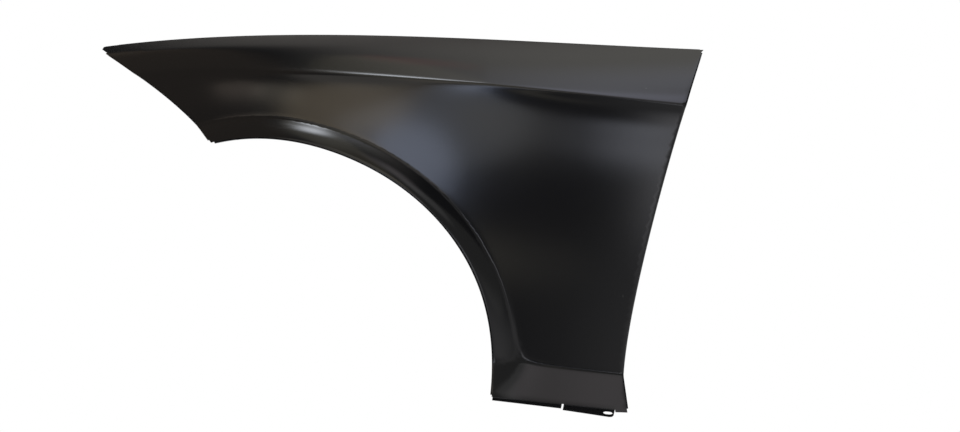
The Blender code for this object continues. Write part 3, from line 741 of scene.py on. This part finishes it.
        edges = [pair for chain in chains for pair in zip(chain, chain[1:])]
        found = delaunay_2d_cdt(points, edges, [list(range(len(loop)))], 1, 1e-5)
        new_number = {old: new for new, olds in enumerate(found[3]) for old in olds}
        stations_of = {name: [new_number[i] for i in numbers[name]] for name in self.lines}
        return found[0], found[2], stations_of

    def build_sheet(self, bm):
        """Outer face of the whole pressing: the skin and the flanges folded from its edges."""
        points, triangles, stations_of = self.skin_triangles()
        verts = [bm.verts.new(self.place(on_skin(point))) for point in points]
        for triangle in triangles:
            bm.faces.new([verts[i] for i in triangle])
        for name, first, rows in self.flanges:
            columns = []
            for i, row in enumerate(rows):
                root = verts[stations_of[name][first + i]]
                columns.append([root, *(bm.verts.new(self.place(point)) for point in row)])
            for near, far in zip(columns, columns[1:]):
                for k in range(len(near) - 1):
                    bm.faces.new((near[k], far[k], far[k + 1], near[k + 1]))
        loose = [vert for vert in bm.verts if not vert.link_faces]
        bmesh.ops.delete(bm, geom=loose, context='VERTS')

    def add_hole(self, bm, tab, along, across, length, width):
        """Round-ended prism through a tab."""
        half = (length - width) / 2
        rings = [[], []]
        for k in range(HOLE_SIDES):
            angle = 2 * pi * (k + 0.5) / HOLE_SIDES
            shift = half if cos(angle) > 0 else -half
            spot = tab.point(along + shift + width / 2 * cos(angle), across + width / 2 * sin(angle))
            for ring, face in zip(rings, (-1, 1)):
                ring.append(bm.verts.new(self.place(spot + tab.normal * face * HOLE_REACH)))
        low, high = rings
        bm.faces.new(reversed(low))
        bm.faces.new(high)
        for k in range(HOLE_SIDES):
            after = (k + 1) % HOLE_SIDES
            bm.faces.new((low[k], low[after], high[after], high[k]))

    def build_cutters(self, bm):
        """Bolt slots and screw holes of all the flanges."""
        for tab in self.top_seats:
            self.add_hole(bm, tab, -PAD_SLOT_FORWARD, PAD_WIDTH / 2, *PAD_SLOT)
        for tab in self.door_seats:
            self.add_hole(bm, tab, 0, DOOR_HOLE_INSET, DOOR_HOLE, DOOR_HOLE)
        self.add_hole(bm, self.lamp_seat, 0, LAMP_HOLE_INSET, LAMP_HOLE, LAMP_HOLE)
        self.add_hole(bm, self.sill_seat, SILL_SLOT_PLACE - self.sill_middle, SILL_SLOT_INSET, *SILL_SLOT)
        span = self.length_of["arch"] - 2 * ARCH_HOLE_MARGIN
        places = [ARCH_HOLE_MARGIN + span * k / (ARCH_HOLES - 1) for k in range(ARCH_HOLES)]
        for point in at_distances(self.lines["arch"], places):
            outward = Vector((point[0], 0, point[1])).normalized()
            root = on_skin(point) - outward * self.fold_radius + INBOARD * self.fold_radius
            tab = Tab(root, INBOARD.cross(-outward), INBOARD)
            self.add_hole(bm, tab, 0, ARCH_FLANGE / 2, ARCH_HOLE, ARCH_HOLE)


# Objects

def new_mesh_object(name, mesh_builder):
    """New object whose mesh is a bmesh written by the builder."""
    bm = bmesh.new()
    mesh_builder(bm)
    mesh = bpy.data.meshes.new(name)
    bm.to_mesh(mesh)
    bm.free()
    made = bpy.data.objects.new(name, mesh)
    bpy.context.scene.collection.objects.link(made)
    return made


def add_modifier(made, name, kind, **values):
    """Puts a modifier on an object, with its settings."""
    modifier = made.modifiers.new(name, kind)
    for setting, value in values.items():
        setattr(modifier, setting, value)


def apply_modifiers(made):
    """Leaves an object with its finished mesh and no modifiers."""
    graph = bpy.context.evaluated_depsgraph_get()
    finished = bpy.data.meshes.new_from_object(made.evaluated_get(graph))
    made.modifiers.clear()
    made.data = finished


def remove_object(gone):
    """Deletes an object and its mesh."""
    mesh = gone.data
    bpy.data.objects.remove(gone)
    bpy.data.meshes.remove(mesh)


# Material nodes

class Nodes:
    """Adds and links the nodes of one tree."""

    def __init__(self, tree):
        self.tree = tree

    def add(self, kind, settings=None, **values):
        """New node, with settings on the node and values on its named input sockets."""
        node = self.tree.nodes.new("ShaderNode" + kind)
        for name, value in (settings or {}).items():
            setattr(node, name, value)
        for name, value in values.items():
            self.feed(value, node.inputs[name.replace("_", " ")])
        return node

    def feed(self, value, socket):
        """Links a socket to an input socket, or sets a plain value on it."""
        if isinstance(value, bpy.types.NodeSocket):
            self.tree.links.new(value, socket)
        else:
            socket.default_value = value

    def math(self, operation, *values, kind="Math"):
        """Result of a sum on values, or on vectors where the kind says so."""
        node = self.add(kind, {"operation": operation})
        for value, socket in zip(values, node.inputs):
            self.feed(value, socket)
        return node.outputs[0]

    def vector(self, operation, *values):
        return self.math(operation, *values, kind="VectorMath")

    def ramp(self, value, low, high, out_low=0.0, out_high=1.0):
        """Smooth step of a value between two limits."""
        node = self.add("MapRange", {"interpolation_type": 'SMOOTHSTEP'}, Value=value)
        for name, limit in (("From Min", low), ("From Max", high), ("To Min", out_low), ("To Max", out_high)):
            self.feed(limit, node.inputs[name])
        return node.outputs["Result"]

    def mix_colour(self, factor, first, second):
        """Mix of two colours, on sockets that go by number since the node's names repeat."""
        node = self.add("Mix", {"data_type": 'RGBA'})
        self.feed(factor, node.inputs["Factor"])
        self.feed(first, node.inputs[6])
        self.feed(second, node.inputs[7])
        return node.outputs[2]

    def noise(self, vector, scale, detail=2.0, rough=0.5):
        node = self.add("TexNoise", None, Vector=vector, Scale=scale, Detail=detail, Roughness=rough)
        return node.outputs["Fac"]


def new_material(name, **values):
    """New material, its Nodes and its shader, with values on the shader's named sockets."""
    material = bpy.data.materials.new(name)
    material.use_nodes = True
    shader = material.node_tree.nodes["Principled BSDF"]
    for socket, value in values.items():
        shader.inputs[socket.replace("_", " ")].default_value = value
    return material, Nodes(material.node_tree), shader


def start_group(name, inputs, outputs):
    """New node group with its named sockets: its Nodes, and its input and output nodes."""
    tree = bpy.data.node_groups.new(name, "ShaderNodeTree")
    for label, kind, default in inputs:
        tree.interface.new_socket(label, in_out='INPUT', socket_type=kind).default_value = default
    for label, kind in outputs:
        tree.interface.new_socket(label, in_out='OUTPUT', socket_type=kind)
    nodes = Nodes(tree)
    return nodes, nodes.tree.nodes.new("NodeGroupInput"), nodes.tree.nodes.new("NodeGroupOutput")


def coat_film_group():
    """Film of a dipped coat: orange peel as a height, and a cloudy roughness."""
    nodes, given, made = start_group(
        "coat_film",
        [("Roughness", "NodeSocketFloat", 0.16), ("Peel Size", "NodeSocketFloat", 0.003),
         ("Cloud", "NodeSocketFloat", 0.03)],
        [("Roughness", "NodeSocketFloat"), ("Height", "NodeSocketFloat")])
    place = nodes.add("TexCoord").outputs["Object"]
    fine = nodes.math('DIVIDE', 1.0, given.outputs["Peel Size"])
    wide = nodes.math('DIVIDE', fine, WIDE_PEEL)
    swell = nodes.math('MULTIPLY', nodes.noise(place, wide, 1.0), WIDE_PEEL_DEPTH)
    peel = nodes.math('ADD', nodes.noise(place, fine, 1.0), swell)
    nodes.feed(peel, made.inputs["Height"])
    cloud = nodes.math('SUBTRACT', nodes.noise(place, CLOUD_SCALE, CLOUD_DETAIL, CLOUD_ROUGHNESS), 0.5)
    spread = nodes.math('MULTIPLY_ADD', cloud, given.outputs["Cloud"], given.outputs["Roughness"])
    nodes.feed(spread, made.inputs["Roughness"])
    return nodes.tree


def dust_group():
    """Sparse dust specks, each a spot in the middle of a cell, in a share of the cells."""
    nodes, given, made = start_group(
        "dust",
        [("Amount", "NodeSocketFloat", 0.1)],
        [("Mask", "NodeSocketFloat")])
    place = nodes.add("TexCoord").outputs["Object"]
    cells = nodes.add("TexVoronoi", {"feature": 'F1'}, Vector=place, Scale=SPECK_CELLS)
    pick = nodes.add("SeparateColor", None, Color=cells.outputs["Color"])
    size = nodes.math('MULTIPLY', pick.outputs["Green"], SPECK_SIZE)
    speck = nodes.math('LESS_THAN', cells.outputs["Distance"], size)
    rare = nodes.math('LESS_THAN', pick.outputs["Red"], given.outputs["Amount"])
    nodes.feed(nodes.math('MULTIPLY', speck, rare), made.inputs["Mask"])
    return nodes.tree


def coat_material(name, settings, rough, peel, film, specks):
    """Black electro-coat, with its film and dust."""
    material, nodes, shader = new_material(name)
    coat = nodes.add("Group", {"node_tree": film}, Roughness=rough)
    coat.inputs["Peel Size"].default_value = settings.peel_size
    bump = nodes.add("Bump", None, Strength=peel, Distance=settings.peel_depth, Height=coat.outputs["Height"])
    fallen = nodes.add("Group", {"node_tree": specks}, Amount=settings.dust)
    colour = nodes.mix_colour(fallen.outputs["Mask"], (*settings.colour, 1), (*settings.dust_colour, 1))
    nodes.feed(colour, shader.inputs["Base Color"])
    nodes.feed(coat.outputs["Roughness"], shader.inputs["Roughness"])
    nodes.feed(bump.outputs["Normal"], shader.inputs["Normal"])
    return material


# Settings

class FenderPanelSettings(bpy.types.PropertyGroup):
    """Gauge, folds and mesh spacing of the panel"""

    sheet: FloatProperty(name="Sheet", description="Thickness of the steel", default=0.0008,
                         min=0.0004, max=0.002, precision=4, unit='LENGTH')
    fold_radius: FloatProperty(name="Fold radius", description="Outer radius of the turned flanges",
                               default=0.0025, min=0.001, max=0.006, precision=4, unit='LENGTH')
    edge_step: FloatProperty(name="Edge spacing", description="Mesh spacing along edges and creases",
                             default=0.005, min=0.003, max=0.02, precision=4, unit='LENGTH')
    grid_step: FloatProperty(name="Skin spacing", description="Mesh spacing over the open skin",
                             default=0.007, min=0.004, max=0.03, precision=4, unit='LENGTH')


class FenderCoatSettings(bpy.types.PropertyGroup):
    """Colour, gloss and dust of the coat"""

    colour: FloatVectorProperty(name="Coat", description="Colour of the electro-coat", subtype='COLOR',
                                size=3, min=0, max=1, default=(0.005, 0.005, 0.0057))
    roughness: FloatProperty(name="Roughness", description="Gloss of the outer face, 0 is a mirror",
                             default=0.12, min=0, max=1, subtype='FACTOR')
    inner_roughness: FloatProperty(name="Inner roughness", description="Gloss of the hidden face",
                                   default=0.28, min=0, max=1, subtype='FACTOR')
    peel_size: FloatProperty(name="Peel size", description="Width of the orange peel's dimples",
                             default=0.003, min=0.0005, max=0.02, precision=4, unit='LENGTH')
    peel_depth: FloatProperty(name="Peel depth", description="Depth of the orange peel's dimples",
                              default=0.000006, min=0, max=0.001, precision=6, unit='LENGTH')
    dust: FloatProperty(name="Dust", description="Share of the surface's cells that hold a speck",
                        default=0.02, min=0, max=1, subtype='FACTOR')
    dust_colour: FloatVectorProperty(name="Dust colour", description="Colour of the specks",
                                     subtype='COLOR', size=3, min=0, max=1, default=(0.09, 0.09, 0.085))


class FenderStudioSettings(bpy.types.PropertyGroup):
    """Floor, light, wall and camera"""

    floor_drop: FloatProperty(name="Floor drop", description="Height of the fender over the floor",
                              default=0.32, min=0, max=2, unit='LENGTH')
    floor_radius: FloatProperty(name="Floor radius", description="Reach of the floor, which fades at its rim",
                                default=1.6, min=0.5, max=10, unit='LENGTH')
    floor_colour: FloatVectorProperty(name="Floor", description="Colour of the floor", subtype='COLOR',
                                      size=3, min=0, max=1, default=(0.82, 0.82, 0.82))
    daylight: FloatProperty(name="Room light", description="Level of the plain light all round",
                            default=0.95, min=0, max=2)
    wall_colour: FloatVectorProperty(name="Wall", description="Colour of the dark wall in the gloss",
                                     subtype='COLOR', size=3, min=0, max=1, default=(0.02, 0.02, 0.02))
    room_radius: FloatProperty(name="Room radius", description="Distance of the dark wall",
                               default=6.0, min=2, max=20, unit='LENGTH')
    camera_distance: FloatProperty(name="Camera distance", description="From the camera to the skin",
                                   default=4.0, min=1, max=20, unit='LENGTH')
    camera_roll: FloatProperty(name="Camera roll", description="Turn of the camera about its own axis",
                               default=radians(6.2), subtype='ANGLE')
    picture_width: FloatProperty(name="Picture width", description="Width that the picture spans",
                                 default=1.536, min=0.2, max=5, unit='LENGTH')
    shape_origin: FloatVectorProperty(name="Shape origin", description="Frame origin's place in the shape",
                                      size=3, default=(0, 0, 0), unit='LENGTH')


class FENDER_OT_pressing(bpy.types.Operator):
    """Press the fender in fine mesh, with its coat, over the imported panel"""

    bl_idname = "fender.pressing"
    bl_label = "Press the fender"

    def execute(self, context):
        size = context.scene.fender_panel
        coat = context.scene.fender_coat
        pressing = Pressing(size.sheet / MM, size.fold_radius / MM, size.edge_step / MM, size.grid_step / MM)
        fender = new_mesh_object("fender_pressing", pressing.build_sheet)
        cutters = new_mesh_object("hole_cutters", pressing.build_cutters)
        film, specks = coat_film_group(), dust_group()
        fender.data.materials.append(coat_material(
            "black_electrocoat_outer", coat, coat.roughness, OUTER_PEEL, film, specks))
        fender.data.materials.append(coat_material(
            "black_electrocoat_inner", coat, coat.inner_roughness, INNER_PEEL, film, specks))

        add_modifier(fender, "sheet thickness", 'SOLIDIFY', thickness=size.sheet, offset=-1,
                     use_even_offset=True, use_quality_normals=True, material_offset=1, material_offset_rim=1)
        add_modifier(fender, "bolt and screw holes", 'BOOLEAN', operation='DIFFERENCE', solver='EXACT',
                     object=cutters)
        apply_modifiers(fender)
        remove_object(cutters)
        context.scene.fender_studio.shape_origin = pressing.origin * MM
        fender.data.shade_smooth()
        fender.data.set_sharp_from_angle(angle=radians(SHARP_FOLD))

        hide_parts("fender_panel")
        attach(fender, "root")
        return {'FINISHED'}


def gloss_only(made):
    """Keeps the studio's wall out of every view but the gloss of the part."""
    for view in ("camera", "diffuse", "shadow", "transmission", "volume_scatter"):
        setattr(made, "visible_" + view, False)
    made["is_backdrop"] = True


def glow_group():
    """One soft-edged glow on the wall, an ellipse turned from azimuth 0 to its own direction."""
    nodes, given, made = start_group(
        "soft_glow",
        [("Azimuth", "NodeSocketFloat", 0.0), ("Elevation", "NodeSocketFloat", 0.0),
         ("Width", "NodeSocketFloat", 0.5), ("Height", "NodeSocketFloat", 0.5),
         ("Tilt", "NodeSocketFloat", 0.0), ("Softness", "NodeSocketFloat", 0.7),
         ("Colour", "NodeSocketColor", (1, 1, 1, 1))],
        [("Glow", "NodeSocketColor")])
    away = nodes.vector('NORMALIZE', nodes.add("TexCoord").outputs["Object"])
    back = nodes.math('MULTIPLY', given.outputs["Azimuth"], -1.0)
    turned = nodes.add("VectorRotate", {"rotation_type": 'Z_AXIS'}, Vector=away, Angle=back)
    level = nodes.add("VectorRotate", {"rotation_type": 'X_AXIS'}, Vector=turned.outputs[0])
    nodes.feed(given.outputs["Elevation"], level.inputs["Angle"])
    upright = nodes.add("VectorRotate", {"rotation_type": 'Y_AXIS'}, Vector=level.outputs[0])
    nodes.feed(given.outputs["Tilt"], upright.inputs["Angle"])
    part = nodes.add("SeparateXYZ", None, Vector=upright.outputs[0])
    ahead = nodes.math('MULTIPLY', part.outputs["Y"], -1.0)
    near = nodes.math('MAXIMUM', ahead, GLOW_EDGE)
    reaches = []
    for axis, size in (("X", "Width"), ("Z", "Height")):
        half = nodes.math('TANGENT', nodes.math('MULTIPLY', given.outputs[size], 0.5))
        reaches.append(nodes.math('DIVIDE', nodes.math('DIVIDE', part.outputs[axis], near), half))
    reach = nodes.math('SQRT', nodes.math('ADD', *(nodes.math('MULTIPLY', r, r) for r in reaches)))
    inner = nodes.math('SUBTRACT', 1.0, given.outputs["Softness"])
    faced = nodes.math('GREATER_THAN', ahead, GLOW_EDGE)
    mask = nodes.math('MULTIPLY', nodes.ramp(reach, inner, 1.0, 1.0, 0.0), faced)
    glow = nodes.vector('SCALE', given.outputs["Colour"])
    nodes.feed(mask, glow.node.inputs["Scale"])
    nodes.feed(glow, made.inputs["Glow"])
    return nodes.tree


def wall_material(colour):
    """Unlit dark wall with its glows."""
    material, nodes, shader = new_material(
        "studio_wall", Base_Color=(0, 0, 0, 1), Specular_IOR_Level=0, Roughness=1, Emission_Strength=1)
    soft_glow = glow_group()
    total = nodes.add("CombineXYZ", None, X=colour[0], Y=colour[1], Z=colour[2]).outputs[0]
    for name, (azimuth, elevation, width, height, tilt, softness, tint) in GLOWS.items():
        glow = nodes.add("Group", {"node_tree": soft_glow, "label": name}, Azimuth=radians(azimuth),
                         Elevation=radians(elevation), Width=radians(width), Height=radians(height),
                         Tilt=radians(tilt), Softness=softness, Colour=(*tint, 1))
        total = nodes.vector('ADD', total, glow.outputs["Glow"])
    nodes.feed(total, shader.inputs["Emission Color"])
    return material


class FENDER_OT_studio(bpy.types.Operator):
    """Set up the pale floor, the plain light, the dark wall with its glows, and the camera"""

    bl_idname = "fender.studio"
    bl_label = "Set up the studio"

    def execute(self, context):
        studio = context.scene.fender_studio
        low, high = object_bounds()
        centre = (low + high) / 2
        self.add_floor(studio, centre, low.z - studio.floor_drop)
        self.light_room(context.scene, studio)
        self.add_walls(studio)
        self.add_camera(context.scene, studio)
        return {'FINISHED'}

    def add_floor(self, studio, centre, level):
        """Wide pale floor under the part."""
        def build(bm):
            bmesh.ops.create_circle(bm, cap_ends=True, segments=ROUND_SIDES, radius=studio.floor_radius)

        floor = new_mesh_object("studio_floor", build)
        floor.location = (centre.x, centre.y, level)
        material, nodes, shader = new_material(
            "pale_floor", Base_Color=(*studio.floor_colour, 1), Roughness=FLOOR_ROUGHNESS,
            Specular_IOR_Level=FLOOR_SHEEN)
        away = nodes.vector('LENGTH', nodes.add("TexCoord").outputs["Object"]).node.outputs["Value"]
        fade = nodes.ramp(away, studio.floor_radius * FLOOR_FADE, studio.floor_radius, 1.0, 0.0)
        nodes.feed(fade, shader.inputs["Alpha"])
        floor.data.materials.append(material)
        floor.visible_glossy = False
        floor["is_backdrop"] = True

    def light_room(self, scene, studio):
        """World of one plain level, and plain white to the camera and in gloss and glass."""
        world = bpy.data.worlds.new("studio")
        world.use_nodes = True
        nodes = Nodes(world.node_tree)
        plain = world.node_tree.nodes["Background"]
        plain.inputs["Strength"].default_value = studio.daylight
        plain.inputs["Color"].default_value = (1, 1, 1, 1)
        white = nodes.add("Background", None, Color=(1, 1, 1, 1), Strength=1.0)
        path = nodes.add("LightPath").outputs
        seen = nodes.math('MAXIMUM', path["Is Camera Ray"], path["Is Glossy Ray"])
        seen = nodes.math('MAXIMUM', seen, path["Is Transmission Ray"])
        mix = nodes.add("MixShader")
        nodes.feed(seen, mix.inputs["Fac"])
        nodes.feed(plain.outputs[0], mix.inputs[1])
        nodes.feed(white.outputs[0], mix.inputs[2])
        nodes.feed(mix.outputs[0], world.node_tree.nodes["World Output"].inputs["Surface"])
        scene.world = world

    def add_walls(self, studio):
        """Dark wall all round the part, with the glows that the gloss shows."""
        def build(bm):
            bmesh.ops.create_uvsphere(bm, u_segments=ROUND_SIDES, v_segments=ROUND_SIDES // 2,
                                      radius=studio.room_radius)

        walls = new_mesh_object("studio_wall", build)
        walls.location = ROOM_CENTRE * MM - Vector(studio.shape_origin)
        walls.data.materials.append(wall_material(studio.wall_colour))
        gloss_only(walls)

    def add_camera(self, scene, studio):
        """Camera square to the door side, rolled as in the picture."""
        aim = AIM * MM - Vector(studio.shape_origin)
        camera = bpy.data.objects.new("camera", bpy.data.cameras.new("camera"))
        camera.data.lens = camera.data.sensor_width * studio.camera_distance / studio.picture_width
        level = Matrix.Rotation(pi / 2, 4, 'X') @ Matrix.Rotation(studio.camera_roll, 4, 'Z')
        camera.matrix_world = Matrix.Translation(aim - INBOARD * studio.camera_distance) @ level
        scene.collection.objects.link(camera)
        scene.camera = camera
        scene.view_settings.view_transform = "Standard"


class FENDER_PT_panel(bpy.types.Panel):
    """Sizes, coat and studio of the fender"""

    bl_label = "Fender"
    bl_space_type = 'VIEW_3D'
    bl_region_type = 'UI'
    bl_category = "Fender"

    def draw(self, context):
        for group, operator in ((context.scene.fender_panel, None),
                                (context.scene.fender_coat, FENDER_OT_pressing.bl_idname),
                                (context.scene.fender_studio, FENDER_OT_studio.bl_idname)):
            for name in group.__annotations__:
                self.layout.prop(group, name)
            if operator:
                self.layout.operator(operator)


CLASSES = (FenderPanelSettings, FenderCoatSettings, FenderStudioSettings,
           FENDER_OT_pressing, FENDER_OT_studio, FENDER_PT_panel)


def register():
    for each in CLASSES:
        bpy.utils.register_class(each)
    bpy.types.Scene.fender_panel = PointerProperty(type=FenderPanelSettings)
    bpy.types.Scene.fender_coat = PointerProperty(type=FenderCoatSettings)
    bpy.types.Scene.fender_studio = PointerProperty(type=FenderStudioSettings)


def unregister():
    del bpy.types.Scene.fender_studio
    del bpy.types.Scene.fender_coat
    del bpy.types.Scene.fender_panel
    for each in reversed(CLASSES):
        bpy.utils.unregister_class(each)


def main():
    register()
    bpy.ops.fender.pressing()
    bpy.ops.fender.studio()


if __name__ == "__main__":
    main()
